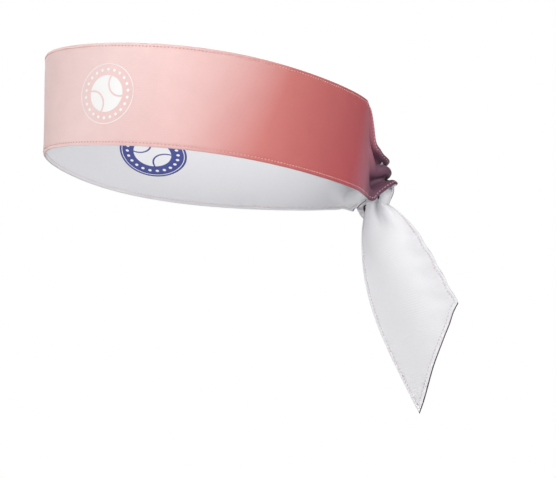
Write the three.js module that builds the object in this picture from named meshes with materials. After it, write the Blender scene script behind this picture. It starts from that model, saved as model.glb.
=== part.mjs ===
// Tie headband for racket sports: a 60 mm strip of two knit layers, closed behind the head by a reef knot,
// with two loose tails. Millimetres, +Z up, the wearer's face towards -Y, the wearer's left towards +X.
// The origin is the centre of the head opening.
import * as THREE from "three";
import { mergeVertices } from "three/addons/utils/BufferGeometryUtils.js";

// The strip
const STRIP_WIDTH = 60;
const LAYER = 0.8; // thickness of one knit layer
const LAYER_GAP = 0.3;
const LAYER_OFFSET = (LAYER + LAYER_GAP) / 2; // from the strip's middle surface to a layer's middle
const STITCH_INSET = 3; // topstitching to edge
const THREAD = 0.5;

// The loop round the head, a long oval that comes to a blunt point at the knot
const LOOP_BACK = 104; // half of its length, front to back
const LOOP_SIDE = 83; // half of its width, before the taper below
const LOOP_TAPER = [1, -0.15, -0.2, 0.12]; // half width against place along the length, as a cubic
const LOOP_WAVE = 1.2; // front and back rise and sides dip by this much
const LOOP_TILT = 6; // degrees, worn with the front high
const LOOP_FULL = 158; // degrees from the front: beyond it the strip is gathered into the knot

// The reef knot, in the loop's frame: out is measured from the loop's rearmost point
const KNOT_OUT = 4.5;
const KNOT_UP = -12.4;
const KNOT_LAYER = 4; // half the distance between the outer strand and the inner one
const STRAND_TALL = 7.2; // a gathered strand's section
const STRAND_THICK = 6;
const MOUTH = 13; // a gathered panel ends here, to the side of the knot's middle
const MOUTH_HEIGHT = 13;

// The tails
const TAIL_CLEAR = 3; // the knot's end to the top of a tail
const TAIL_NECK = 19; // width where a tail leaves the knot
const TAIL_OPENS = 28; // length over which most of the gathers open
const BIAS_RUN = 46; // the cut end is this much longer at one edge
// Azimuth: heading of the upright plane the tail hangs in. Lean: its slope in that plane at the knot, and
// how much more it gains below. Swing: how far the knot holds it off backwards.
const TAILS = {
  left: { pivot: [14, 106, -42], azimuth: 40, lean: 15, leanMore: 14, swing: 0, length: 106 },
  right: { pivot: [-14, 109, -42], azimuth: 152, lean: 8, leanMore: 4, swing: 15, length: 88 },
};

const EMBLEMS = {
  emblem_face: { at: 39.6, width: 36, height: 36, side: 1 },
  emblem_lining: { at: -82, width: 48, height: 30, side: -1 },
};

const fabric = (color) => new THREE.MeshStandardMaterial({ color, roughness: 0.75, metalness: 0 });
const MATERIAL = {
  face: fabric("#e8a7a2"),
  lining: fabric("#e9eaee"),
  knot: fabric("#56374a"),
  tailFace: fabric("#4d3346"),
  thread: fabric("#dba09b"),
  threadPlum: fabric("#a98a9d"),
  printWhite: fabric("#f6f2f2"),
  printNavy: fabric("#3c4b8c"),
};

const radians = THREE.MathUtils.degToRad;
const smooth = (x) => THREE.MathUtils.smoothstep(x, 0, 1);

// ---- Helpers: a fabric layer is a flat box whose vertices are carried onto a surface ----

function closed(geometry) {
  geometry.deleteAttribute("normal");
  geometry.deleteAttribute("uv");
  const merged = mergeVertices(geometry, 1e-4);
  merged.computeVertexNormals();
  return merged;
}

// place(a, b) gives { point, normal } for a in -1..1 along the strip and b in -1..1 across it.
function layer(place, along, across, thickness, offset) {
  const box = new THREE.BoxGeometry(2, 2, 1, along, across, 1);
  const at = box.attributes.position;
  for (let i = 0; i < at.count; i++) {
    const { point, normal } = place(at.getX(i), at.getY(i));
    point.addScaledVector(normal, offset + at.getZ(i) * thickness);
    at.setXYZ(i, point.x, point.y, point.z);
  }
  return closed(box);
}

function ellipseShape(width, height, sides) {
  const points = Array.from({ length: sides }, (_, i) => {
    const turn = (2 * Math.PI * (i + 0.5)) / sides;
    return new THREE.Vector2((width / 2) * Math.cos(turn), (height / 2) * Math.sin(turn));
  });
  return new THREE.Shape(points);
}

function threadRun(points, steps) {
  const path = new THREE.CatmullRomCurve3(points);
  const section = ellipseShape(THREAD, THREAD, 4);
  return closed(new THREE.ExtrudeGeometry(section, { steps, extrudePath: path }));
}

function named(name, geometry, material) {
  const mesh = new THREE.Mesh(geometry, material);
  mesh.name = name;
  return mesh;
}

// ---- The loop's middle line ----

function loopPoint(degrees) {
  const turn = radians(degrees);
  const back = -Math.cos(turn);
  const taper = LOOP_TAPER.reduce((sum, factor, power) => sum + factor * back ** power, 0);
  const x = LOOP_SIDE * Math.sin(turn) * taper;
  return new THREE.Vector3(x, LOOP_BACK * back, LOOP_WAVE * Math.cos(2 * turn));
}

const knotPoint = (x, out, up) => new THREE.Vector3(x, LOOP_BACK + KNOT_OUT + out, KNOT_UP + up);

// A gathered end runs from the full-width loop outwards and into the knot's mouth on that side.
function gatherCurve(side, out, up) {
  const start = loopPoint(side * LOOP_FULL);
  const before = loopPoint(side * (LOOP_FULL - 4));
  const heading = start.clone().sub(before).setLength(7);
  const end = knotPoint(side * MOUTH, out, up);
  const lead = new THREE.Vector3(side * 7, -1.5, 0);
  return new THREE.CubicBezierCurve3(start, start.clone().add(heading), end.clone().add(lead), end);
}

const GATHER = {
  1: gatherCurve(1, KNOT_LAYER, 4.4),
  [-1]: gatherCurve(-1, -KNOT_LAYER + 0.5, 4.4),
};
const LOOP_SHARE = 0.9; // the share of the panel's mesh that lies on the full-width loop

function bandLine(a) {
  const side = a < 0 ? -1 : 1;
  const share = Math.abs(a);
  if (share <= LOOP_SHARE) return loopPoint((a / LOOP_SHARE) * LOOP_FULL);
  return GATHER[side].getPoint((share - LOOP_SHARE) / (1 - LOOP_SHARE));
}

function bandPlace(a, b) {
  const step = 1e-3;
  const point = bandLine(a);
  const tangent = bandLine(Math.min(a + step, 1)).sub(bandLine(Math.max(a - step, -1)));
  const normal = new THREE.Vector3(tangent.y, -tangent.x, 0).normalize();
  const gathered = smooth((Math.abs(a) - LOOP_SHARE) / (1 - LOOP_SHARE));
  point.z += (b * THREE.MathUtils.lerp(STRIP_WIDTH, MOUTH_HEIGHT, gathered)) / 2;
  return { point, normal };
}

// ---- The band: two layers, topstitching on both, and a print on each ----

const band = new THREE.Group();
band.rotation.x = -radians(LOOP_TILT);
band.add(named("band_face", layer(bandPlace, 120, 1, LAYER, LAYER_OFFSET), MATERIAL.face));
band.add(named("band_lining", layer(bandPlace, 120, 1, LAYER, -LAYER_OFFSET), MATERIAL.lining));

const THREAD_OFFSET = LAYER_OFFSET + LAYER / 2 + LAYER_GAP + THREAD / 2;
for (const [sideName, side] of [["face", 1], ["lining", -1]]) {
  for (const [edgeName, edge] of [["top", 1], ["bottom", -1]]) {
    const count = 72;
    const points = Array.from({ length: count + 1 }, (_, i) => {
      const a = LOOP_SHARE * 0.98 * (-1 + (2 * i) / count);
      const { point, normal } = bandPlace(a, edge * (1 - (2 * STITCH_INSET) / STRIP_WIDTH));
      return point.addScaledVector(normal, side * THREAD_OFFSET);
    });
    band.add(named(`band_${edgeName}_stitching_${sideName}`, threadRun(points, 110), MATERIAL.thread));
  }
}

for (const [name, { at, width, height, side }] of Object.entries(EMBLEMS)) {
  const disc = new THREE.CylinderGeometry(1, 1, 1, 32, 1);
  const vertices = disc.attributes.position;
  const here = loopPoint(at);
  const perDegree = loopPoint(at + 0.5).distanceTo(loopPoint(at - 0.5));
  for (let i = 0; i < vertices.count; i++) {
    const along = (vertices.getX(i) * width) / 2;
    const a = ((at + along / perDegree) / LOOP_FULL) * LOOP_SHARE;
    const { point, normal } = bandPlace(a, 0);
    point.z = here.z + (vertices.getZ(i) * height) / 2;
    const proud = LAYER_OFFSET + LAYER / 2 + LAYER_GAP + 0.3 + 0.15 * (1 + vertices.getY(i) * 2);
    point.addScaledVector(normal, side * proud);
    vertices.setXYZ(i, point.x, point.y, point.z);
  }
  if (side > 0) disc.index.array.reverse();
  band.add(named(name, closed(disc), name === "emblem_face" ? MATERIAL.printWhite : MATERIAL.printNavy));
}

// ---- The reef knot: each end makes a U-shaped bight round both legs of the other ----

// Half of a bight, from its mouth to its far turn, as [across, out, up]. The other half mirrors it in height.
const BIGHT = [
  [12.5, 1, 4.4],
  [8.6, 0.9, 4.4],
  [4.9, 0.05, 4.7],
  [0, -1, 8.7],
  [-4.9, 0.05, 12.7],
  [-9, 1, 12.4],
  [-12.6, 1.05, 7.5],
  [-13.4, 1.05, 0],
];

// The left end lies over the right one at both turns, and under it where the legs cross in the middle.
function strandPath(side, exit) {
  const over = side * KNOT_LAYER;
  const there = BIGHT.map(([across, out, up]) => knotPoint(side * across, out * over, up));
  const back = BIGHT.slice(2, -1).reverse();
  const returning = back.map(([across, out, up]) => knotPoint(side * across, out * over, -up));
  const leaving = exit.map(([across, out, up]) => knotPoint(side * across, out, up));
  return new THREE.CatmullRomCurve3([...there, ...returning, ...leaving]);
}

const EXIT = {
  left: [[8.6, 3.4, -5], [12, 3.6, -8.5], [13.2, 2.6, -13], [13.6, 1.6, -17]],
  right: [[9, -3.6, -5], [13.2, -4, -8.5], [14.4, -3.4, -12.5], [14.4, -1.6, -17]],
};

// A gathered strand is a round bar bent along its path, with its tall axis kept upright where it can be.
function strand(path, steps) {
  const bar = new THREE.CylinderGeometry(1, 1, 1, 10, steps);
  const at = bar.attributes.position;
  const outward = new THREE.Vector3(0, 1, 0);
  for (let i = 0; i < at.count; i++) {
    const share = THREE.MathUtils.clamp(at.getY(i) + 0.5, 0, 1);
    const point = path.getPointAt(share);
    const tangent = path.getTangentAt(share);
    const sideways = new THREE.Vector3().crossVectors(tangent, outward).normalize();
    const thick = new THREE.Vector3().crossVectors(sideways, tangent);
    point.addScaledVector(sideways, (at.getX(i) * STRAND_TALL) / 2);
    point.addScaledVector(thick, (at.getZ(i) * STRAND_THICK) / 2);
    at.setXYZ(i, point.x, point.y, point.z);
  }
  return closed(bar);
}

band.add(named("knot_left_strand", strand(strandPath(1, EXIT.left), 44), MATERIAL.knot));
band.add(named("knot_right_strand", strand(strandPath(-1, EXIT.right), 44), MATERIAL.knot));

// ---- The tails: each hangs in an upright plane from a pivot under the knot, and fans open below it ----

function tailPlace({ azimuth, lean, leanMore, length }) {
  const level = new THREE.Vector3(Math.cos(radians(azimuth)), Math.sin(radians(azimuth)), 0);
  const side = azimuth < 90 ? 1 : -1;
  const normal = new THREE.Vector3(-level.y, level.x, 0).multiplyScalar(side);
  const axisAt = (s) => {
    const steps = 24;
    const point = new THREE.Vector3();
    for (let i = 0; i < steps; i++) {
      const angle = radians(lean + leanMore * smooth((s * (i + 0.5)) / steps / 100));
      point.addScaledVector(level, (Math.sin(angle) * s) / steps);
      point.z -= (Math.cos(angle) * s) / steps;
    }
    return point;
  };
  return (a, b) => {
    const end = length - (b * BIAS_RUN) / 2;
    const s = TAIL_CLEAR + ((a + 1) / 2) * (end - TAIL_CLEAR);
    const half = STRIP_WIDTH / 2 - 1.5 - (STRIP_WIDTH / 2 - 1.5 - TAIL_NECK / 2) * Math.exp(-s / TAIL_OPENS);
    const angle = radians(lean + leanMore * smooth(s / 100));
    const across = level.clone().multiplyScalar(Math.cos(angle));
    across.z = Math.sin(angle);
    return { point: axisAt(s).addScaledVector(across, b * half), normal: normal.clone() };
  };
}

const tails = new THREE.Group();
for (const [name, tail] of Object.entries(TAILS)) {
  const hanging = new THREE.Group();
  hanging.position.set(...tail.pivot);
  hanging.rotation.x = radians(tail.swing);
  const place = tailPlace(tail);
  const flip = name === "left" ? 1 : -1;
  const cloth = (offset) => {
    const made = layer(place, 14, 4, LAYER, offset);
    if (flip > 0) made.index.array.reverse();
    return made;
  };
  hanging.add(named(`tail_${name}_face`, cloth(LAYER_OFFSET), MATERIAL.tailFace));
  hanging.add(named(`tail_${name}_lining`, cloth(-LAYER_OFFSET), MATERIAL.lining));
  const inset = 1 - (2 * STITCH_INSET) / STRIP_WIDTH;
  for (const [sideName, side] of [["face", 1], ["lining", -1]]) {
    const route = [];
    for (let a = -0.96; a < 0.9; a += 0.2) route.push([a, inset]);
    for (let b = 0.8; b > -0.85; b -= 0.2) route.push([0.94, b * inset]);
    for (let a = 0.84; a > -0.97; a -= 0.2) route.push([a, -inset]);
    const points = route.map(([a, b]) => {
      const { point, normal } = place(a, b);
      return point.addScaledVector(normal, side * THREAD_OFFSET);
    });
    hanging.add(named(`tail_${name}_stitching_${sideName}`, threadRun(points, 60), MATERIAL.threadPlum));
  }
  tails.add(hanging);
}

const headband = new THREE.Group();
headband.add(band, tails);

export default headband;
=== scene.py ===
from math import cos, pi, radians, sin

import bpy
import numpy as np
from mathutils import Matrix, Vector


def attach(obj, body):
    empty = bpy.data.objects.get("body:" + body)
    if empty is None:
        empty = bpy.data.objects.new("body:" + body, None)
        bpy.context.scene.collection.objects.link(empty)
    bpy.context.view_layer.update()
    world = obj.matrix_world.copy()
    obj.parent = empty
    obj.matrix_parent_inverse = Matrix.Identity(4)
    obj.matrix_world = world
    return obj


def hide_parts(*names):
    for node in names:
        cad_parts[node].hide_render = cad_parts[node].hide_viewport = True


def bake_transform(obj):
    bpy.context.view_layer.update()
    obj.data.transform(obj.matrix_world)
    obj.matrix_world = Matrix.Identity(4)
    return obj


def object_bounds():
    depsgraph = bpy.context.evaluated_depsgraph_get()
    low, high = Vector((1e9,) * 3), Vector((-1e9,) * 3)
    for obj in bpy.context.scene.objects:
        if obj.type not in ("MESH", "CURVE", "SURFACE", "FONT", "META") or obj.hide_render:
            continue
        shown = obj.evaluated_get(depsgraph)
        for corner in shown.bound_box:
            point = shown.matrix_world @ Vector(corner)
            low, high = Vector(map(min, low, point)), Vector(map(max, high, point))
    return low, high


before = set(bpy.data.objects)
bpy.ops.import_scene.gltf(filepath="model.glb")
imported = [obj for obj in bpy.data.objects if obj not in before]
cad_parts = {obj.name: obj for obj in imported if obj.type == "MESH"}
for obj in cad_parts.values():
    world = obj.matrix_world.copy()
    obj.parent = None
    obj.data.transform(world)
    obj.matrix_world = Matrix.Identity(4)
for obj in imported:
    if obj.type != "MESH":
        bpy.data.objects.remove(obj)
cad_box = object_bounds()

# ---- Studio ----------------------------------------------------------------------------------------
# The headband is shown as it is worn, held up with nothing under it. It stands above a pale floor in a
# white tent of light, with two soft lamps over its left side and one past its right side. The camera
# looks up at it from its left.

CAMERA_PLACE = (1.0270, -0.3337, -0.2098)
CAMERA_AIM = (0.0127, 0.0391, -0.0659)
CAMERA_LENS = 114.9
LAMPS_AIM = (0, 0, -0.03)
LAMP_TINT = (1.0, 0.985, 0.965)
WHITE = (1.0, 1.0, 1.0, 1.0)
FLOOR_DROP = 0.10  # from the lowest point of the tails to the floor
FLOOR_SIZE = 8.0
FLOOR_GLOW = 0.75  # share of the floor's look that is even white, so that it stays pale far from the lamps
PALE = (0.93, 0.93, 0.94, 1.0)


def aim(thing, target):
    heading = Vector(target) - thing.location
    thing.rotation_euler = heading.to_track_quat("-Z", "Y").to_euler()


def in_scene(name, data):
    thing = bpy.data.objects.new(name, data)
    bpy.context.scene.collection.objects.link(thing)
    return thing


def soft_lamp(name, place, size, watts):
    lamp = bpy.data.lights.new(name, "AREA")
    lamp.shape = "DISK"
    lamp.size = size
    lamp.energy = watts
    lamp.color = LAMP_TINT
    thing = in_scene(name, lamp)
    thing.location = place
    aim(thing, LAMPS_AIM)


camera = in_scene("camera", bpy.data.cameras.new("camera"))
camera.data.lens = CAMERA_LENS
camera.data.sensor_width = 36.0
camera.data.clip_start = 0.05
camera.location = CAMERA_PLACE
aim(camera, CAMERA_AIM)
bpy.context.scene.camera = camera
bpy.context.scene.view_settings.view_transform = "Standard"

soft_lamp("front_lamp", (1.2, -0.98, 0.42), 0.7, 13.5)
soft_lamp("back_lamp", (1.15, 0.75, 0.75), 0.6, 10.0)
soft_lamp("far_lamp", (-1.35, -0.3, 0.9), 1.0, 10.0)

# The tent is plain white to look at, and lights the headband more from above than from the sides.
TENT_SIDES = 0.17
TENT_TOP = 0.24
world = bpy.data.worlds.new("light_tent")
world.use_nodes = True
tent = world.node_tree
tent_light = tent.nodes["Background"]
tent_look = tent.nodes.new("ShaderNodeBackground")
tent_look.inputs["Color"].default_value = WHITE
direction = tent.nodes.new("ShaderNodeTexCoord")
height_of = tent.nodes.new("ShaderNodeSeparateXYZ")
tent_rise = tent.nodes.new("ShaderNodeMapRange")
tent_rise.inputs["From Min"].default_value = -0.2
tent_rise.inputs["From Max"].default_value = 1.0
tent_rise.inputs["To Min"].default_value = TENT_SIDES
tent_rise.inputs["To Max"].default_value = TENT_TOP
seen = tent.nodes.new("ShaderNodeLightPath")
choice = tent.nodes.new("ShaderNodeMixShader")
tent.links.new(direction.outputs["Generated"], height_of.inputs[0])
tent.links.new(height_of.outputs["Z"], tent_rise.inputs["Value"])
tent.links.new(tent_rise.outputs[0], tent_light.inputs["Strength"])
tent.links.new(seen.outputs["Is Camera Ray"], choice.inputs[0])
tent.links.new(tent_light.outputs[0], choice.inputs[1])
tent.links.new(tent_look.outputs[0], choice.inputs[2])
tent.links.new(choice.outputs[0], tent.nodes["World Output"].inputs["Surface"])
tent_light.inputs["Color"].default_value = WHITE
bpy.context.scene.world = world

floor_height = cad_box[0][2] - FLOOR_DROP
reach = FLOOR_SIZE / 2
floor_mesh = bpy.data.meshes.new("floor")
floor_mesh.from_pydata(
    [(x, y, floor_height) for x, y in [(-reach, -reach), (reach, -reach), (reach, reach), (-reach, reach)]],
    [], [(0, 1, 2, 3)])
floor = in_scene("floor", floor_mesh)
floor_paint = bpy.data.materials.new("floor_paint")
floor_paint.use_nodes = True
floor_nodes, floor_links = floor_paint.node_tree.nodes, floor_paint.node_tree.links
floor_surface = floor_nodes["Principled BSDF"]
floor_surface.inputs["Base Color"].default_value = PALE
floor_surface.inputs["Roughness"].default_value = 0.8
floor_look = floor_nodes.new("ShaderNodeEmission")
floor_look.inputs["Color"].default_value = PALE
floor_share = floor_nodes.new("ShaderNodeMixShader")
floor_seen = floor_nodes.new("ShaderNodeLightPath")
floor_part = floor_nodes.new("ShaderNodeMath")
floor_part.operation = "MULTIPLY"
floor_part.inputs[1].default_value = FLOOR_GLOW
floor_links.new(floor_seen.outputs["Is Camera Ray"], floor_part.inputs[0])
floor_links.new(floor_part.outputs[0], floor_share.inputs[0])
floor_links.new(floor_surface.outputs[0], floor_share.inputs[1])
floor_links.new(floor_look.outputs[0], floor_share.inputs[2])
floor_links.new(floor_share.outputs[0], floor_nodes["Material Output"].inputs["Surface"])
floor_mesh.materials.append(floor_paint)


# ---- The strip's route -----------------------------------------------------------------------------
# One strip of two knit layers, 60 mm wide, runs all the way: tail, knot, round the head, knot, tail.
# It is laid out in millimetres as a middle line with an upward edge direction, measured from the front
# of the loop outwards on each side, and it turns from a flat band into a pleated bundle at the knot.

MM = 0.001
STRIP_WIDTH = 60.0
HALF_WIDTH = STRIP_WIDTH / 2
LOOP_BACK = 104.0
LOOP_SIDE = 83.0
LOOP_TAPER = (1, -0.15, -0.2, 0.12)
LOOP_WAVE = 1.2
LOOP_TILT = radians(6)
LOOP_FULL = 158  # degrees from the front to where the strip starts to gather
KNOT_OUT = 4.5
KNOT_UP = -12.4
KNOT_LAYER = 4.0
MOUTH = 13.0
# The knot's strands as points (across, out, up) from its middle. Each end comes in on its own side, goes
# round the other end's legs in a bight, and leaves below where it came in.
COMING_IN = {1: [(12.5, 4.0, 4.4), (8.6, 3.6, 4.4), (4.9, 0.2, 4.7)],
             -1: [(12.5, -6.4, 4.4), (8.6, -6.0, 4.4), (4.9, -2.5, 4.7)]}
BIGHT = [(0, -1, 7.6), (-4.7, 0.05, 10.6), (-8.4, 1, 10.4), (-11.2, 1.05, 6.6), (-12.0, 1.05, 0)]
LOWER_BIGHT = 0.86  # the lower half is pulled up shorter by the hanging tails
GOING_BACK = [(4.9, 0.05, -4.7)]
LEAVING = {
    1: [(8.6, 3.4, -5), (12, 3.6, -8.5), (13.2, 2.6, -13), (13.6, 1.6, -17)],
    -1: [(8.6, -0.6, -5), (11.5, 0.4, -8.5), (13.2, 0.8, -12.5), (13.8, 0.8, -17)],
}
TAILS = {
    1: dict(pivot=(14, 106, -42), azimuth=40, lean=15, lean_more=14, swing=0, length=106),
    -1: dict(pivot=(-14, 109, -42), azimuth=152, lean=8, lean_more=4, swing=15, length=88),
}
BIAS_RUN = 46.0  # the cut end reaches this much further at the strip's upper edge
TAIL_NECK = (5.5, 9.5)  # how far its edges lie from the middle line there
TAIL_OPENS = 26.0  # length over which most of the gathers open
TAIL_SLACK = 1.5  # an opened tail's edges stay this much nearer its middle line than a flat strip's
TAIL_SPARE = 40.0  # extra route past a tail's mean length, for its slanted end
TAIL_CURVES = 100.0  # a tail gains its further slope over this length
STEP = 0.5  # spacing of the route's points
GATHER_PULL = 7.0  # how firmly a gather keeps to the loop's line and to the knot's
GATHER_DIP = -1.5
KNOT_EASE = 1.6  # sharp turns of the middle line are eased over this width
FACING_EASE = 2.5
# Where the strip changes, as (start, length) past a mark: the end of the full loop, the knot's mouth, or
# the knot's exit.
EASES = (4, 6)  # past the full loop
STANDS_UPRIGHT = (-8, 6)  # past the full loop
LEANS_AGAIN = (8, 12)  # past the mouth
FACES_THE_TAIL = (-17, 18)  # past the exit


def smooth(x):
    x = np.clip(x, 0, 1)
    return x * x * (3 - 2 * x)


def change(s, mark, span):
    """Rises from 0 to 1 over a span past a mark."""
    start, length = span
    return smooth((s - mark - start) / length)


def unit(vectors):
    return vectors / np.linalg.norm(vectors, axis=-1, keepdims=True)


def loop_line(degrees):
    turn = np.radians(degrees)
    back = -np.cos(turn)
    taper = sum(factor * back**power for power, factor in enumerate(LOOP_TAPER))
    return np.stack([LOOP_SIDE * np.sin(turn) * taper, LOOP_BACK * back, LOOP_WAVE * np.cos(2 * turn)], -1)


def knot_point(x, out, up):
    return np.array([x, LOOP_BACK + KNOT_OUT + out, KNOT_UP + up])


def tilted(points):
    x, y, z = np.moveaxis(np.asarray(points, float), -1, 0)
    c, s = cos(LOOP_TILT), sin(LOOP_TILT)
    return np.stack([x, c * y + s * z, c * z - s * y], -1)


def through(points, steps=10):
    """A Catmull-Rom curve through the points."""
    p = np.array([2 * points[0] - points[1], *points, 2 * points[-1] - points[-2]])
    t = np.linspace(0, 1, steps, endpoint=False)[:, None]
    spans = []
    for a, b, c, d in zip(p, p[1:], p[2:], p[3:]):
        spans.append(0.5 * (2 * b + (c - a) * t + (2 * a - 5 * b + 4 * c - d) * t**2
                            + (3 * b - a - 3 * c + d) * t**3))
    return np.concatenate([*spans, [points[-1]]])


def lengths(points):
    return np.concatenate([[0], np.cumsum(np.linalg.norm(np.diff(points, axis=0), axis=1))])


def resample(at, s, values):
    return np.stack([np.interp(at, s, column) for column in values.T], -1)


def softened(values, width):
    """Runs a bell-shaped average of the given width in millimetres along the rows."""
    reach = int(3 * width / STEP)
    bell = np.exp(-0.5 * (np.arange(-reach, reach + 1) * STEP / width) ** 2)
    bell /= bell.sum()
    before, after = 2 * values[:1] - values[reach:0:-1], 2 * values[-1:] - values[-2:-reach - 2:-1]
    padded = np.concatenate([before, values, after])
    return np.stack([np.convolve(column, bell, "valid") for column in padded.T], -1)


def tail_axis(azimuth, lean, lean_more, swing, reach):
    """The tail's middle line below its pivot, its face normal, and the same after its swing."""
    level = np.array([cos(radians(azimuth)), sin(radians(azimuth)), 0])
    flip = 1 if azimuth < 90 else -1
    normal = np.array([-level[1], level[0], 0]) * flip
    s = np.arange(0, reach, STEP)
    angle = np.radians(lean + lean_more * smooth(s / TAIL_CURVES))
    steps = (np.sin(angle)[:, None] * level - np.cos(angle)[:, None] * [0, 0, 1]) * STEP
    line = np.concatenate([[np.zeros(3)], np.cumsum(steps, axis=0)])
    c, d = cos(radians(swing)), sin(radians(swing))
    turn = np.array([[1, 0, 0], [0, c, -d], [0, d, c]])
    return line @ turn.T, turn @ normal


class End:
    """One half of the strip, side 1 to the wearer's left and -1 to the right, from the front outwards."""

    def __init__(self, side):
        self.side = side
        loop = tilted(loop_line(side * np.linspace(0, LOOP_FULL, 500)))
        _, mouth_out, mouth_up = COMING_IN[side][0]
        mouth = tilted(knot_point(side * MOUTH, mouth_out, mouth_up))
        heading = unit(loop[-1] - loop[-12]) * GATHER_PULL
        lead = tilted(np.array([side * GATHER_PULL, GATHER_DIP, 0]))
        t = np.linspace(0, 1, 60)[1:, None]
        gather = ((1 - t)**3 * loop[-1] + 3 * (1 - t)**2 * t * (loop[-1] + heading)
                  + 3 * (1 - t) * t**2 * (mouth + lead) + t**3 * mouth)
        over = side * KNOT_LAYER
        legs = [knot_point(side * a, out, up) for a, out, up in COMING_IN[side]]
        legs += [knot_point(side * a, out * over, up) for a, out, up in BIGHT]
        legs += [knot_point(side * a, out * over, -up * LOWER_BIGHT) for a, out, up in BIGHT[-2::-1]]
        legs += [knot_point(side * a, out * over, up) for a, out, up in GOING_BACK]
        legs += [knot_point(side * a, out, up) for a, out, up in LEAVING[side]]
        strand = tilted(through(legs))
        tail = TAILS[side]
        hang, tail_normal = tail_axis(*(tail[k] for k in ("azimuth", "lean", "lean_more", "swing")),
                                      tail["length"] + TAIL_SPARE)
        hang = hang + tail["pivot"]
        marks = np.cumsum([lengths(loop)[-1], np.linalg.norm(gather[0] - loop[-1]) + lengths(gather)[-1],
                           lengths(strand)[-1]])
        self.full, self.mouth, self.exit = marks
        line = np.concatenate([loop, gather, strand[1:], hang[2:]])
        s = lengths(line)
        self.s = np.arange(0, s[-1], STEP)
        centre = resample(self.s, s, line)
        knotted = self.s > self.full + EASES[0]
        eased = centre.copy()
        eased[knotted] = softened(centre, KNOT_EASE)[knotted]
        near = change(self.s, self.full, EASES)[:, None]
        self.centre = centre + (eased - centre) * near
        along = unit(np.gradient(self.centre, axis=0))
        flat_out = unit(np.cross(along * side, [0, 0, 1]))
        knot_out = tilted(np.array([0.0, 1.0, 0.0]))
        into = smooth((self.s - self.full) / (self.mouth - self.full))[:, None]
        leave = change(self.s, self.exit, FACES_THE_TAIL)[:, None]
        out = flat_out * (1 - into) + knot_out * into
        out = out * (1 - leave) + tail_normal * leave
        out = unit(out - (out * along).sum(1, keepdims=True) * along)
        self.out = unit(softened(out, FACING_EASE))
        square = unit(np.cross(self.out, along) * side)
        plumb = tilted(np.array([0.0, 0.0, 1.0]))
        upright = unit(plumb - (self.out @ plumb)[:, None] * self.out)
        gathered = change(self.s, self.full, STANDS_UPRIGHT) * (1 - change(self.s, self.mouth, LEANS_AGAIN))
        self.up = unit(square * (1 - gathered[:, None]) + upright * gathered[:, None])


# Pleats: the strip's section is a wave whose heading swings like a sine across the strip, so it keeps its
# 60 mm however tightly it is gathered. The swing sets how much narrower the section gets. In the knot it
# has two folds, with both edges outward, and in a tail one broad one.

MOST_SWING = {"gather": 1.5, "knot": 2.35, "tail": 1.3}
SWINGS = np.linspace(0, MOST_SWING["knot"], 200)
NARROWING = np.array([np.cos(swing * np.cos(np.linspace(0, 2 * pi, 401)[:-1])).mean() for swing in SWINGS])
ACROSS_FINE = np.linspace(-HALF_WIDTH, HALF_WIDTH, 481)
# Distance past the full loop, and how far the bottom and top edges lie below and above the middle line.
# The top edge comes down to the knot first, and the bottom edge comes up last.
GATHERING = {
    1: [(-24, 30, 30), (-10, 31.6, 30), (-5, 33, 26), (-1.5, 32.6, 15), (2, 30, 7.4), (5.4, 26.5, 5.8),
        (11.4, 19, 6.6), (17.4, 13, 7.4), (22.4, 9.5, 7.4), (31, 4.8, 4.8)],
    -1: [(-6, 30, 30), (-0.6, 30, 24), (5.4, 28.7, 14), (11.4, 24.7, 9), (17.4, 22, 7),
         (24, 22, 5), (29, 20, 5), (36, 4.8, 4.8)],
}
FOLD_DEPTH = {"gather": 0.6, "knot": 0.75, "tail": 0.3}
BUCKLE = 0.9  # height of the soft buckles along a tail's hanging edge
BUCKLE_LENGTH = 17.0
BUCKLE_SLANT = 0.09  # the buckles run aslant, by this much of a turn for each millimetre
BUCKLES_BELOW = (6, 20)  # past the middle line, towards the lower edge
GATHER_EASE = 1.4  # the gathers' edge lines are eased over this width
FOLD_SKEW = 1.6  # the folds are pushed aside by this much, so that no two are alike
FOLD_SKEW_WAVE = (7, 41)  # its start and length across the strip
OPENS_FROM = 1.5  # a tail opens from this far past the exit
# As before, where the pleats change, past the same marks.
SKEWS = (-10, 20)  # past the full loop
DEEPENS = (0, 8)  # past the mouth
TIGHTENS = (-2, 6)  # past the mouth
BECOMES_TAIL = (-14, 13)  # past the exit
ONE_BROAD_FOLD = (1, 32)  # past the exit
HANGS_LOOSE = (12, 18)  # past the exit


def section(swing, broad, skew):
    """Up and out offsets across the strip, for one place along it."""
    start, length = FOLD_SKEW_WAVE
    w = ACROSS_FINE + skew * np.sin(2 * pi * (ACROSS_FINE + start) / length)
    folds = broad * np.sin(2 * pi * w / STRIP_WIDTH) - (1 - broad) * np.sin(4 * pi * w / STRIP_WIDTH)
    heading = swing * folds
    step = ACROSS_FINE[1] - ACROSS_FINE[0]
    up = np.concatenate([[0], np.cumsum(np.cos(heading[1:]) + np.cos(heading[:-1])) * step / 2])
    out = np.concatenate([[0], np.cumsum(np.sin(heading[1:]) + np.sin(heading[:-1])) * step / 2])
    return up - (up[0] + up[-1]) / 2, out - out.mean()


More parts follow.
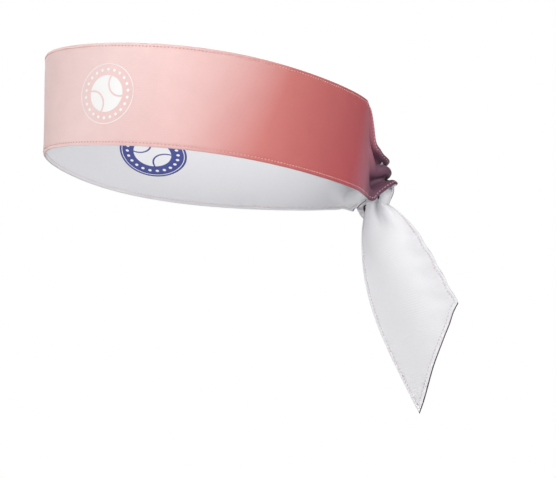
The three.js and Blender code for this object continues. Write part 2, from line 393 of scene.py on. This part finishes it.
def pleated(end):
    """Fills in the end's middle surface on its route points and the fine columns across the strip."""
    s = end.s
    marks, low, high = np.array(GATHERING[end.side]).T
    edges = np.stack([np.interp(s - end.full, marks, low), np.interp(s - end.full, marks, high)], -1)
    edges = softened(edges, GATHER_EASE)
    hang = np.maximum(s - end.exit - OPENS_FROM, 0)
    opened = HALF_WIDTH - TAIL_SLACK
    low_half, high_half = (opened - (opened - neck) * np.exp(-hang / TAIL_OPENS) for neck in TAIL_NECK)
    leave = change(s, end.exit, BECOMES_TAIL)
    below = edges[:, 0] * (1 - leave) + low_half * leave
    above = edges[:, 1] * (1 - leave) + high_half * leave
    share = np.minimum((below + above) / STRIP_WIDTH, 1)
    deepening = change(s, end.mouth, DEEPENS)
    depth = FOLD_DEPTH["gather"] + (FOLD_DEPTH["knot"] - FOLD_DEPTH["gather"]) * deepening
    depth = depth * (1 - leave) + FOLD_DEPTH["tail"] * leave
    broad = change(s, end.exit, ONE_BROAD_FOLD)
    skew = FOLD_SKEW * end.side * change(s, end.full, SKEWS)
    into_knot = change(s, end.mouth, TIGHTENS)
    most = MOST_SWING["gather"] + (MOST_SWING["knot"] - MOST_SWING["gather"]) * into_knot
    most = most * (1 - leave) + MOST_SWING["tail"] * leave
    loose = change(s, end.exit, HANGS_LOOSE)
    below_middle = change(-ACROSS_FINE, 0, BUCKLES_BELOW)
    end.surface = np.empty((len(s), len(ACROSS_FINE), 3))
    for i in range(len(s)):
        swing = min(np.interp(-share[i], -NARROWING, SWINGS), most[i])
        up, out = section(swing, broad[i], skew[i])
        up = up * ((below[i] + above[i]) / (up[-1] - up[0])) + (above[i] - below[i]) / 2
        wave = np.sin((s[i] - end.exit) * 2 * pi / BUCKLE_LENGTH + ACROSS_FINE * BUCKLE_SLANT)
        out = depth[i] * out + BUCKLE * loose[i] * wave * below_middle
        end.surface[i] = end.centre[i] + up[:, None] * end.up[i] + out[:, None] * end.out[i]


left_end, right_end = End(1), End(-1)
for end in (left_end, right_end):
    pleated(end)


def middle_surface(end, s, w):
    """Points of the middle surface at distances s along one end and w across it, any arrays of one shape."""
    i = np.clip(s / STEP, 0, len(end.s) - 1.001)
    j = np.clip((w + HALF_WIDTH) / STRIP_WIDTH * (len(ACROSS_FINE) - 1), 0, len(ACROSS_FINE) - 1.001)
    a, b = i.astype(int), j.astype(int)
    u, v = (i - a)[..., None], (j - b)[..., None]
    g = end.surface
    nearer = g[a, b] * (1 - v) + g[a, b + 1] * v
    further = g[a + 1, b] * (1 - v) + g[a + 1, b + 1] * v
    return nearer * (1 - u) + further * u


def strip_points(sigma, w):
    """The same for sigma measured along the whole strip, positive to the wearer's left."""
    left = middle_surface(left_end, np.maximum(sigma, 0), w)
    right = middle_surface(right_end, np.maximum(-sigma, 0), w)
    return np.where((sigma >= 0)[..., None], left, right)


def outward(sigma, w):
    """The face side's normal, from points close by in both directions."""
    d = 0.4
    along = strip_points(sigma + d, w) - strip_points(sigma - d, w)
    lower, upper = np.maximum(w - d, -HALF_WIDTH), np.minimum(w + d, HALF_WIDTH)
    return unit(np.cross(along, strip_points(sigma, upper) - strip_points(sigma, lower)))


# ---- The face and lining of the loop ---------------------------------------------------------------
# Two panels of knit sewn face to face along both long edges and turned right side out: a smooth satin
# face dyed from pale pink to coral to plum, and a white brushed lining. Both are topstitched near the edge.

LAYER = 0.85  # height of a layer's outer side above its edge
SEAM_HEIGHT = 0.12  # and of its edge above the strip's middle
SEAM_ROUND = 1.0  # the layers close on each other over this distance from the edge
STITCH_INSET = 1.9
STITCH_PITCH = 2.2
STITCH_SINK = 0.30
STITCH_TRACK = 0.55  # half width of the track that the stitches press in
PUCKER_REACH = 2.2
RIPPLE = 0.13  # height, length and reach of the ripples along the topstitching
RIPPLE_LENGTH = 8.3
RIPPLE_REACH = 2.6
UNEVEN = 0.16
FOLD_GAP = 0.06
ALONG_STEP = 1.6  # spacing of the cloth's rows round the head, in the gathers and in the knot
GATHER_STEP = 0.9
KNOT_STEP = 0.8
GATHER_LEAD = 12  # the closer rows begin this far before the gather


def columns():
    """Places across the strip, close together at the edges and the topstitching."""
    inset = np.array([0, 0.1, 0.3, 0.6, 1.0, 1.35, 1.65, 1.9, 2.15, 2.5, 3.2, 4.4])
    middle = np.linspace(-HALF_WIDTH + 5.6, HALF_WIDTH - 5.6, 54)
    return np.concatenate([inset - HALF_WIDTH, middle, (HALF_WIDTH - inset)[::-1]])


def cloth_height(sigma, w):
    """How far a layer's outer side stands off the strip's middle: full, rounded at the seam, sunk and
    puckered at the topstitching, with a faint unevenness all over."""
    inset = HALF_WIDTH - np.abs(w)
    close = 1 - np.clip(inset / SEAM_ROUND, 0, 1)
    height = SEAM_HEIGHT + LAYER * np.sqrt(1 - close**2)
    height = height - STITCH_SINK * np.exp(-(((inset - STITCH_INSET) / STITCH_TRACK) ** 2))
    ripple = np.sin(sigma * 2 * pi / RIPPLE_LENGTH + 1.7 * np.sin(sigma / 19) + np.sign(w))
    near = np.exp(-(((inset - STITCH_INSET) / RIPPLE_REACH) ** 2)) * np.clip(inset, 0, 1)
    height = height + RIPPLE * ripple * near
    slow = np.sin(sigma / 17 + w / 21) * np.sin(sigma / 41 - w / 13 + 1)
    return height + UNEVEN * slow * np.clip(inset / 6, 0, 1)


def grid_faces(rows, cols, first, flip):
    i, j = np.meshgrid(np.arange(rows - 1), np.arange(cols - 1), indexing="ij")
    a = (i * cols + j).ravel() + first
    quads = np.stack([a, a + cols, a + cols + 1, a + 1], -1)
    return quads[:, ::-1] if flip else quads


def shell(name, outer, inner, sigma, w, material, lining=False):
    """A closed thin body between two grids, with the strip's own measures, in metres, as its UV map."""
    rows, cols = outer.shape[:2]
    count = rows * cols
    points = np.concatenate([outer.reshape(-1, 3), inner.reshape(-1, 3)]) * MM
    border = np.concatenate([
        np.arange(cols - 1), np.arange(rows - 1) * cols + cols - 1,
        (rows - 1) * cols + np.arange(cols - 1, 0, -1), np.arange(rows - 1, 0, -1) * cols])
    after = np.roll(border, -1)
    walls = np.stack([border, after, after + count, border + count], -1)
    if lining:
        walls = walls[:, ::-1]
    faces = np.concatenate([grid_faces(rows, cols, 0, lining), grid_faces(rows, cols, count, not lining),
                            walls[:, ::-1]])
    mesh = bpy.data.meshes.new(name)
    mesh.vertices.add(len(points))
    mesh.vertices.foreach_set("co", points.astype(np.float32).ravel())
    mesh.loops.add(faces.size)
    mesh.loops.foreach_set("vertex_index", faces.astype(np.int32).ravel())
    mesh.polygons.add(len(faces))
    mesh.polygons.foreach_set("loop_start", np.arange(0, faces.size, 4, dtype=np.int32))
    mesh.polygons.foreach_set("use_smooth", np.ones(len(faces), bool))
    mesh.update(calc_edges=True)
    flat = np.stack([sigma.ravel(), w.ravel()], -1)
    flat = np.concatenate([flat, flat])[faces.ravel()] * MM
    mesh.uv_layers.new(name="strip").data.foreach_set("uv", flat.astype(np.float32).ravel())
    mesh.materials.append(material)
    return in_scene(name, mesh)


def cloth(name, sigma, w, side, material, closing=1.0):
    """One knit layer over a grid of strip measures: side 1 is the face, -1 the lining."""
    points, normals = strip_points(sigma, w), outward(sigma, w)
    outer = points + side * normals * (cloth_height(sigma, w) * closing)[..., None]
    inner = points + side * normals * FOLD_GAP
    return shell(name, outer, inner, sigma, w, material, lining=side < 0)


class Value:
    """A shader value. Its operators add Math nodes to the material that it belongs to."""

    def __init__(self, finish, socket):
        self.finish, self.socket = finish, socket

    def math(self, operation, *others):
        sockets = dict(enumerate([self, *others]))
        return self.finish.node("ShaderNodeMath", {"operation": operation}, sockets)

    def __add__(self, other):
        return self.math("ADD", other)

    def __mul__(self, other):
        return self.math("MULTIPLY", other)

    def __sub__(self, other):
        return self.math("SUBTRACT", other)

    def __pow__(self, other):
        return self.math("POWER", other)

    def __neg__(self):
        return self * -1

    def __rsub__(self, other):
        return -self + other

    def __lt__(self, other):
        return self.math("LESS_THAN", other)

    def __gt__(self, other):
        return self.math("GREATER_THAN", other)

    __radd__, __rmul__ = __add__, __mul__

    def sin(self):
        return self.math("SINE")

    def fract(self):
        return self.math("FRACT")

    def abs(self):
        return self.math("ABSOLUTE")

    def root(self):
        return self.math("SQRT")

    def ramp(self, low, high):
        return self.finish.node("ShaderNodeMapRange", {"interpolation_type": "SMOOTHSTEP", "clamp": True},
                                {"Value": self, "From Min": low, "From Max": high})


def dye(hexcode):
    """Linear colour from the usual hex form."""
    channels = [int(hexcode[i:i + 2], 16) / 255 for i in (0, 2, 4)]
    return tuple(c / 12.92 if c <= 0.04045 else ((c + 0.055) / 1.055) ** 2.4 for c in channels) + (1.0,)


class Finish:
    """A material under construction."""

    def __init__(self, name):
        self.material = bpy.data.materials.new(name)
        self.material.use_nodes = True
        self.nodes = self.material.node_tree.nodes
        self.links = self.material.node_tree.links
        self.surface = self.nodes["Principled BSDF"]

    def node(self, kind, settings=None, sockets=None, output=0):
        made = self.nodes.new(kind)
        for key, setting in (settings or {}).items():
            if key == "stops":
                ramp = made.color_ramp
                while len(ramp.elements) < len(setting):
                    ramp.elements.new(0.5)
                for element, (place, colour) in zip(ramp.elements, setting):
                    element.position = place
                    element.color = colour
            else:
                setattr(made, key, setting)
        for key, value in (sockets or {}).items():
            self.feed(made.inputs[key], value)
        return Value(self, made.outputs[output])

    def feed(self, socket, value):
        if isinstance(value, Value):
            self.links.new(value.socket, socket)
        else:
            socket.default_value = value

    def strip_measures(self):
        """Distance along the strip from its front and height above its middle, in millimetres."""
        uv = self.node("ShaderNodeUVMap", {"uv_map": "strip"})
        scaled = self.node("ShaderNodeVectorMath", {"operation": "SCALE"}, {"Vector": uv, "Scale": 1000.0})
        along = self.node("ShaderNodeSeparateXYZ", None, {"Vector": scaled}, 0)
        return scaled, along, Value(self, along.socket.node.outputs[1])

    def mix(self, share, a, b, blend="MIX"):
        sockets = {0: share, 6: a, 7: b}
        return self.node("ShaderNodeMix", {"data_type": "RGBA", "blend_type": blend}, sockets, 2)

    def grey(self, tone):
        return self.node("ShaderNodeCombineColor", None, {0: tone, 1: tone, 2: tone})

    def bump(self, height):
        """Height is in millimetres."""
        return self.node("ShaderNodeBump", None, {"Strength": 1.0, "Distance": MM, "Height": height})

    def noise(self, vector, scale, detail=2.0):
        return self.node("ShaderNodeTexNoise", None, {"Vector": vector, "Scale": scale, "Detail": detail})

    def finish(self, fixed, **varying):
        for key, value in {**fixed, **{k.replace("_", " "): v for k, v in varying.items()}}.items():
            self.feed(self.surface.inputs[key], value)
        return self.material


# The dye holds pale pink over the front, runs through blush to coral at the sides and deepens to plum
# where the strip is gathered, the same on both sides of the front: millimetres and colours. The mauve step
# before the plum is lightened as a painted sheen, where the strip turns away at the back of the loop.
DYE_REACH = 400
PALE_PINK = "f2d6d4"
BLUSH = "deb4b2"
CORAL = "c87470"
RED_CORAL = "b85258"
# Mauve: partly the dye turning to plum, partly a painted sheen of grazing light at the loop's back end.
MAUVE_WITH_PAINTED_SHEEN = "aa6878"
PLUM = "6c465a"
DEEP_PLUM = "44303e"
DYES_AND_PAINTED_SHEEN = [(0, PALE_PINK), (50, PALE_PINK), (115, BLUSH), (160, CORAL), (235, RED_CORAL), (255, MAUVE_WITH_PAINTED_SHEEN),
        (266, PLUM), (320, DEEP_PLUM), (400, DEEP_PLUM)]
PAINTED_SHADE_SLANT = 0.35  # the lower edge reads further along the dye ramp, so it is darker: painted shade of light from above
WALE = 0.95  # width of a knit stitch
COURSE = 0.75  # its length


def knit_height(along, up, wale, course):
    """Columns of V-shaped knit stitches."""
    column = up * (1 / wale)
    lean = (column.fract() - 0.5).abs() * 2
    rows = (along * (1 / course) + lean * 0.6) * (2 * pi)
    return rows.sin() * 0.5 - (lean ** 3) * 0.9


def seam_pucker(along, up):
    """Small tucks at each stitch of the topstitching."""
    inset = HALF_WIDTH - up.abs()
    near = 1 - (inset - STITCH_INSET).abs().ramp(0.0, PUCKER_REACH)
    return (along * (2 * pi / STITCH_PITCH)).sin() * near


def satin_knit():
    f = Finish("dyed_satin_knit_with_painted_shade_and_sheen")
    measures, along, up = f.strip_measures()
    # Painted shade: lower on the strip the dye ramp is read further along, so the bottom edge is darker.
    distance = along.abs() - up * PAINTED_SHADE_SLANT
    stops = [(s / DYE_REACH, dye(colour)) for s, colour in DYES_AND_PAINTED_SHEEN]
    base = f.node("ShaderNodeValToRGB", {"stops": stops}, {"Fac": distance * (1 / DYE_REACH)})
    cloud = f.noise(measures, 0.09, 3.0)
    heather = f.noise(measures, 1.6, 1.0)
    tone = 0.93 + cloud * 0.09 + heather * 0.05
    colour = f.mix(1.0, base, f.grey(tone), "MULTIPLY")
    knit = knit_height(along, up, WALE, COURSE)
    height = knit * 0.022 + seam_pucker(along, up) * 0.05 + cloud * 0.25
    return f.finish(
        {"Specular IOR Level": 0.3, "Sheen Weight": 0.18, "Sheen Roughness": 0.35},
        Base_Color=colour, Roughness=0.46 + knit * 0.05 + heather * 0.08, Normal=f.bump(height))


def brushed_lining():
    f = Finish("brushed_white_lining")
    measures, along, up = f.strip_measures()
    rib = ((along + up * 0.8) * (2 * pi / 1.25)).sin()
    cross = ((along - up * 1.1) * (2 * pi / 1.6)).sin()
    fluff = f.noise(measures, 2.4, 3.0)
    cloud = f.noise(measures, 0.07, 2.0)
    height = rib * 0.03 + cross * 0.012 + fluff * 0.06 + seam_pucker(along, up) * 0.05 + cloud * 0.3
    colour = f.mix(0.5 + rib * 0.12 + (fluff - 0.5) * 0.8, dye("dfe0e6"), dye("f1f2f5"))
    return f.finish({"Specular IOR Level": 0.15, "Sheen Weight": 0.2, "Sheen Roughness": 0.6},
                    Base_Color=colour, Roughness=0.85 + fluff * 0.1, Normal=f.bump(height))


SATIN = satin_knit()
LINING = brushed_lining()


def rows_between(start, stop, step):
    return np.linspace(start, stop, max(2, int(round((stop - start) / step)) + 1))


def loop_rows():
    """Rows of the loop and its gathers, closer together where it bends into the knot."""
    right = rows_between(-right_end.mouth, -right_end.full + GATHER_LEAD, GATHER_STEP)
    left = rows_between(left_end.full - GATHER_LEAD, left_end.mouth, GATHER_STEP)
    round_the_head = rows_between(right[-1], left[0], ALONG_STEP)
    return np.concatenate([right[:-1], round_the_head, left[1:]])


loop_sigma, loop_w = np.meshgrid(loop_rows(), columns(), indexing="ij")
loop_face = cloth("loop_face", loop_sigma, loop_w, 1, SATIN)
loop_lining = cloth("loop_lining", loop_sigma, loop_w, -1, LINING)
for piece, node, slot in [(loop_face, "band_face", "knit_pink"),
                          (loop_lining, "band_lining", "lining_white")]:
    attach(piece, "band")
    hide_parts(node)


# ---- The reef knot ---------------------------------------------------------------------------------
# Past each gather the strip goes on as a pressed, pleated strand. The left strand lies over the right
# one at both turns and under it in the middle, each bight round both legs of the other.

KNOTS = {1: ("left", left_end), -1: ("right", right_end)}
for side, (name, end) in KNOTS.items():
    rows = rows_between(end.mouth, end.exit, KNOT_STEP)
    rows = rows if side > 0 else -rows[::-1]
    sigma, w = np.meshgrid(rows, columns(), indexing="ij")
    face = cloth(f"knot_{name}_face", sigma, w, 1, SATIN)
    lining = cloth(f"knot_{name}_lining", sigma, w, -1, LINING)
    for piece, slot in [(face, "knit_plum"), (lining, "lining_white")]:
        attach(piece, "band")
    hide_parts(f"knot_{name}_strand")


# ---- The tails -------------------------------------------------------------------------------------
# The strip's ends hang free under the knot, where their pleats open out. Each end is cut on the bias,
# its lining turned towards the front, and the two layers are turned in and topstitched along the cut.

TAIL_ROWS = 110
TAIL_CROWDING = 1.5  # above 1 the rows lie closer together at the cut end
FACE_ROLL = 0.7  # the face rolls this far round the cut end
CUT_CLOSED = 0.16


def tail_end(end, w):
    return end.exit + TAILS[end.side]["length"] + w / STRIP_WIDTH * BIAS_RUN


def end_close(cut):
    """1 inside the tail, and small at its cut end, where the layers close on each other."""
    return CUT_CLOSED + (1 - CUT_CLOSED) * np.sqrt(1 - (1 - np.clip(cut / SEAM_ROUND, 0, 1)) ** 2)


def tail_cloth(name, end, side, material, roll):
    share = 1 - (1 - np.linspace(0, 1, TAIL_ROWS)) ** TAIL_CROWDING
    share, w = np.meshgrid(share, columns(), indexing="ij")
    reach = tail_end(end, w) + roll - end.exit
    sigma, closing = end.side * (end.exit + share * reach), end_close((1 - share) * reach)
    if end.side < 0:
        sigma, w, closing = sigma[::-1], w[::-1], closing[::-1]
    return cloth(name, sigma, w, side, material, closing)


def bend(piece):
    """Bakes the placement of a piece of the tail into its mesh."""
    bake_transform(piece)


for side, (name, end) in KNOTS.items():
    layers = [tail_cloth(f"tail_{name}_face_cloth", end, 1, SATIN, FACE_ROLL),
              tail_cloth(f"tail_{name}_lining_cloth", end, -1, LINING, 0)]
    for piece, node, slot in zip(layers, ["face", "lining"], ["knit_plum_tail", "lining_white"]):
        bend(piece)
        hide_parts(f"tail_{name}_{node}")


# ---- The topstitching ------------------------------------------------------------------------------
# Straight lockstitch in polyester thread, 2 mm in from every edge and showing on both layers. The thread
# is a deeper pink than the front of the band, and pales against the coral and the plum.

STITCH_SIZE = (1.35, 0.6, 0.45)  # length, width and height of one stitch
STITCH_PROUD = 0.16
STITCH_SPREAD = (0.9, 1.1)
STITCH_SEED = 11
STITCH_LINE_STEP = 1.0


def thread_finish():
    f = Finish("topstitch_thread")
    along = f.node("ShaderNodeAttribute", {"attribute_name": "along"}, None, 2)
    inner = f.node("ShaderNodeAttribute", {"attribute_name": "inner"}, None, 2)
    stops = [(0.0, "d59a97"), (0.28, "d8a19c"), (0.38, "e6b1aa"), (0.5, "f3c6bf"), (0.62, "f0c4bf"),
             (0.72, "c9a3ab"), (1.0, "b891a0")]
    dyed = f.node("ShaderNodeValToRGB", {"stops": [(place, dye(colour)) for place, colour in stops]},
                  {"Fac": along * (1 / DYE_REACH)})
    colour = f.mix(inner * 0.62, dyed, dye("ece3e6"))
    place = f.node("ShaderNodeTexCoord", None, None, 3)
    twist = f.node("ShaderNodeTexNoise", None, {"Vector": place, "Scale": 2600.0, "Detail": 1.0})
    tone = 0.9 + twist * 0.18
    colour = f.mix(1.0, colour, f.grey(tone), "MULTIPLY")
    return f.finish({"Specular IOR Level": 0.35}, Base_Color=colour, Roughness=0.5 + twist * 0.15,
                    Normal=f.bump(twist * 0.08))


def stitching_tree():
    """Lays one stitch at every pitch along lines of edges, turned along the line and off the cloth."""
    tree = bpy.data.node_groups.new("lockstitch", "GeometryNodeTree")
    sockets = tree.interface
    sockets.new_socket("Geometry", in_out="INPUT", socket_type="NodeSocketGeometry")
    for label, kind in [("Pitch", "Float"), ("Stitch Size", "Vector"), ("Least Size", "Float"),
                        ("Most Size", "Float"), ("Seed", "Int"), ("Thread", "Material")]:
        sockets.new_socket(label, in_out="INPUT", socket_type="NodeSocket" + kind)
    sockets.new_socket("Geometry", in_out="OUTPUT", socket_type="NodeSocketGeometry")

    def add(kind, settings=None, **feeds):
        made = tree.nodes.new(kind)
        for key, setting in (settings or {}).items():
            setattr(made, key, setting)
        for key, value in feeds.items():
            socket = made.inputs[key.replace("_", " ")]
            if isinstance(value, bpy.types.NodeSocket):
                tree.links.new(value, socket)
            else:
                socket.default_value = value
        return made

    given = add("NodeGroupInput").outputs
    line = add("GeometryNodeMeshToCurve", Mesh=given["Geometry"])
    spaced = add("GeometryNodeResampleCurve", {"mode": "LENGTH"}, Curve=line.outputs[0],
                 Length=given["Pitch"])
    bead = add("GeometryNodeMeshUVSphere", Segments=6, Rings=4, Radius=0.5)
    stitch = add("GeometryNodeTransform", Geometry=bead.outputs["Mesh"], Scale=given["Stitch Size"])
    smoothed = add("GeometryNodeSetShadeSmooth", Geometry=stitch.outputs[0])
    tangent = add("GeometryNodeInputTangent")
    facing = add("GeometryNodeInputNamedAttribute", {"data_type": "FLOAT_VECTOR"}, Name="facing")
    turned = add("FunctionNodeAlignRotationToVector", {"axis": "X"}, Vector=tangent.outputs[0])
    upright = add("FunctionNodeAlignRotationToVector", {"axis": "Z", "pivot_axis": "X"},
                  Rotation=turned.outputs[0], Vector=facing.outputs[0])
    spread = add("FunctionNodeRandomValue", {"data_type": "FLOAT"}, Seed=given["Seed"])
    for socket, label in zip([spread.inputs[2], spread.inputs[3]], ["Least Size", "Most Size"]):
        tree.links.new(given[label], socket)
    laid = add("GeometryNodeInstanceOnPoints", Points=spaced.outputs[0], Instance=smoothed.outputs[0],
               Rotation=upright.outputs[0], Scale=spread.outputs[1])
    real = add("GeometryNodeRealizeInstances", Geometry=laid.outputs[0])
    threaded = add("GeometryNodeSetMaterial", Geometry=real.outputs[0], Material=given["Thread"])
    add("NodeGroupOutput", Geometry=threaded.outputs[0])
    return tree


THREAD = thread_finish()
LOCKSTITCH = stitching_tree()


def topstitch(name, lines):
    """One body's stitching, along lines of (sigma, w) on the face and the lining."""
    points, edges, facings, along, inner = [], [], [], [], []
    for sigma, w in lines:
        normals = outward(sigma, w)
        for side in (1, -1):
            first = sum(len(part) for part in points)
            height = cloth_height(sigma, w)[:, None] + STITCH_PROUD
            points.append((strip_points(sigma, w) + side * normals * height) * MM)
            facings.append(side * normals)
            along.append(np.abs(sigma))
            inner.append(np.full(len(sigma), float(side < 0)))
            edges += [(first + i, first + i + 1) for i in range(len(sigma) - 1)]
    line_mesh = bpy.data.meshes.new(name + "_line")
    line_mesh.from_pydata(np.concatenate(points).tolist(), edges, [])
    line_mesh.attributes.new("facing", "FLOAT_VECTOR", "POINT").data.foreach_set(
        "vector", np.concatenate(facings).astype(np.float32).ravel())
    for label, values in [("along", along), ("inner", inner)]:
        line_mesh.attributes.new(label, "FLOAT", "POINT").data.foreach_set(
            "value", np.concatenate(values).astype(np.float32))
    guide = in_scene(name + "_line", line_mesh)
    sewing = guide.modifiers.new("lockstitch", "NODES")
    sewing.node_group = LOCKSTITCH
    wanted = {"Pitch": STITCH_PITCH * MM, "Stitch Size": [size * MM for size in STITCH_SIZE],
              "Least Size": STITCH_SPREAD[0], "Most Size": STITCH_SPREAD[1], "Seed": STITCH_SEED,
              "Thread": THREAD}
    for item in LOCKSTITCH.interface.items_tree:
        if item.in_out == "INPUT" and item.name in wanted:
            sewing[item.identifier] = wanted[item.name]
    sewn = bpy.data.meshes.new_from_object(guide.evaluated_get(bpy.context.evaluated_depsgraph_get()))
    guide.modifiers.remove(sewing)
    bpy.data.objects.remove(guide)
    return in_scene(name, sewn)


SEAM_LINE = HALF_WIDTH - STITCH_INSET
band_run = np.arange(-right_end.exit, left_end.exit, STITCH_LINE_STEP)
band_lines = [(band_run, np.full_like(band_run, w)) for w in (SEAM_LINE, -SEAM_LINE)]
band_stitches = topstitch("band_topstitching", band_lines)
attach(band_stitches, "band")
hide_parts("band_top_stitching_face", "band_bottom_stitching_face",
            "band_top_stitching_lining", "band_bottom_stitching_lining")

for side, (name, end) in KNOTS.items():
    inset = STITCH_INSET * np.hypot(1, BIAS_RUN / STRIP_WIDTH)
    high, low = tail_end(end, SEAM_LINE) - inset, tail_end(end, -SEAM_LINE) - inset
    down, back = np.arange(end.exit, high, STITCH_LINE_STEP), np.arange(low, end.exit, -STITCH_LINE_STEP)
    across = np.linspace(SEAM_LINE, -SEAM_LINE, 70)
    s = np.concatenate([down, tail_end(end, across) - inset, back])
    w = np.concatenate([np.full_like(down, SEAM_LINE), across, np.full_like(back, -SEAM_LINE)])
    stitches = topstitch(f"tail_{name}_topstitching", [(side * s, w)])
    bend(stitches)
    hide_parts(f"tail_{name}_stitching_face", f"tail_{name}_stitching_lining")


# ---- The prints ------------------------------------------------------------------------------------
# Two rubbery transfers, pressed on before the band is sewn: a white ball in a ring of dots on the face
# at the left temple, and the same in a wide navy oval on the lining across from it.

PRINT_FILM = 0.12
PRINT_GRID = 61
SEAM_CURVE = (1.02, 0.72, 0.045)  # a ball seam's centre, radius and half width, in radii of the ball
SEAM_SLANT = radians(35)
DOTS = 22
FACE_MARK = dict(ring=(0.975, 0.012), ball=0.6, dots=0.79, dot=0.05)  # in radii of the print
LINING_MARK = dict(ring=(0.93, 0.011), ball=0.56, dots=0.755, dot=0.05)
FACE_PRINT_TURN = 39.6  # degrees from the front, to the wearer's left
LINING_PRINT_TURN = 82  # and to the right
FACE_PRINT_HALVES = (18.0, 18.0)  # half its length along the strip and half its height
LINING_PRINT_HALVES = (24.0, 15.0)


def print_place(degrees):
    turn = np.linspace(0, LOOP_FULL, 800)
    return np.interp(degrees, turn, lengths(loop_line(turn)))


def ball_and_dots(p, q, ring, ball, dots, dot):
    """Mask of the white print over places p and q, where the print's outline is at 1."""
    rho = (p * p + q * q).root()
    hoop = (rho - ring[0]).abs() < ring[1]
    disc = rho < ball
    for way in (1, -1):
        x, y = way * SEAM_CURVE[0] * ball * cos(SEAM_SLANT), way * SEAM_CURVE[0] * ball * sin(SEAM_SLANT)
        off = ((p - x) ** 2 + (q - y) ** 2).root() - SEAM_CURVE[1] * ball
        disc = disc * (off.abs() > SEAM_CURVE[2] * ball)
    turn = q.math("ARCTAN2", p) * (DOTS / (2 * pi))
    round_the_ring = (turn.fract() - 0.5) * (2 * pi * dots / DOTS)
    spots = (round_the_ring ** 2 + (rho - dots) ** 2).root() < dot
    return hoop + disc + spots


def face_print():
    f = Finish("white_transfer")
    measures, along, up = f.strip_measures()
    mask = ball_and_dots((along - FACE_PRINT[0]) * (1 / FACE_PRINT[1]), up * (1 / FACE_PRINT[2]),
                         **FACE_MARK)
    grain = f.noise(measures, 3.0, 2.0)
    tone = 0.9 + grain * 0.06
    return f.finish({"Specular IOR Level": 0.4}, Base_Color=f.grey(tone), Roughness=0.42 + grain * 0.1,
                    Alpha=mask, Normal=f.bump(grain * 0.03))


def lining_print():
    f = Finish("navy_transfer")
    measures, along, up = f.strip_measures()
    mask = ball_and_dots((along - LINING_PRINT[0]) * (1 / LINING_PRINT[1]), up * (1 / LINING_PRINT[2]),
                         **LINING_MARK)
    grain = f.noise(measures, 2.6, 2.0)
    navy = f.mix(grain, dye("3d478c"), dye("4a559c"))
    return f.finish({"Specular IOR Level": 0.35}, Base_Color=f.mix(mask, navy, dye("eeeff3")),
                    Roughness=0.5 + grain * 0.12, Normal=f.bump(grain * 0.05))


def transfer(name, place, side, material):
    """A thin film over an oval of the cloth: place holds its middle along the strip and its half sizes."""
    u, v = np.meshgrid(np.linspace(-1, 1, PRINT_GRID), np.linspace(-1, 1, PRINT_GRID), indexing="ij")
    sigma = place[0] + place[1] * u * np.sqrt(1 - v * v / 2)
    w = place[2] * v * np.sqrt(1 - u * u / 2)
    points, normals, height = strip_points(sigma, w), outward(sigma, w), cloth_height(sigma, w)[..., None]
    outer = points + side * normals * (height + PRINT_FILM)
    inner = points + side * normals * (height - PRINT_FILM)
    return shell(name, outer, inner, sigma, w, material, lining=side < 0)


FACE_PRINT = (print_place(FACE_PRINT_TURN), *FACE_PRINT_HALVES)
LINING_PRINT = (-print_place(LINING_PRINT_TURN), *LINING_PRINT_HALVES)
face_transfer = transfer("face_transfer", FACE_PRINT, 1, face_print())
lining_transfer = transfer("lining_transfer", LINING_PRINT, -1, lining_print())
for piece, node, slot in [(face_transfer, "emblem_face", "print_white"),
                          (lining_transfer, "emblem_lining", "print_navy")]:
    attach(piece, "band")
    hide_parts(node)
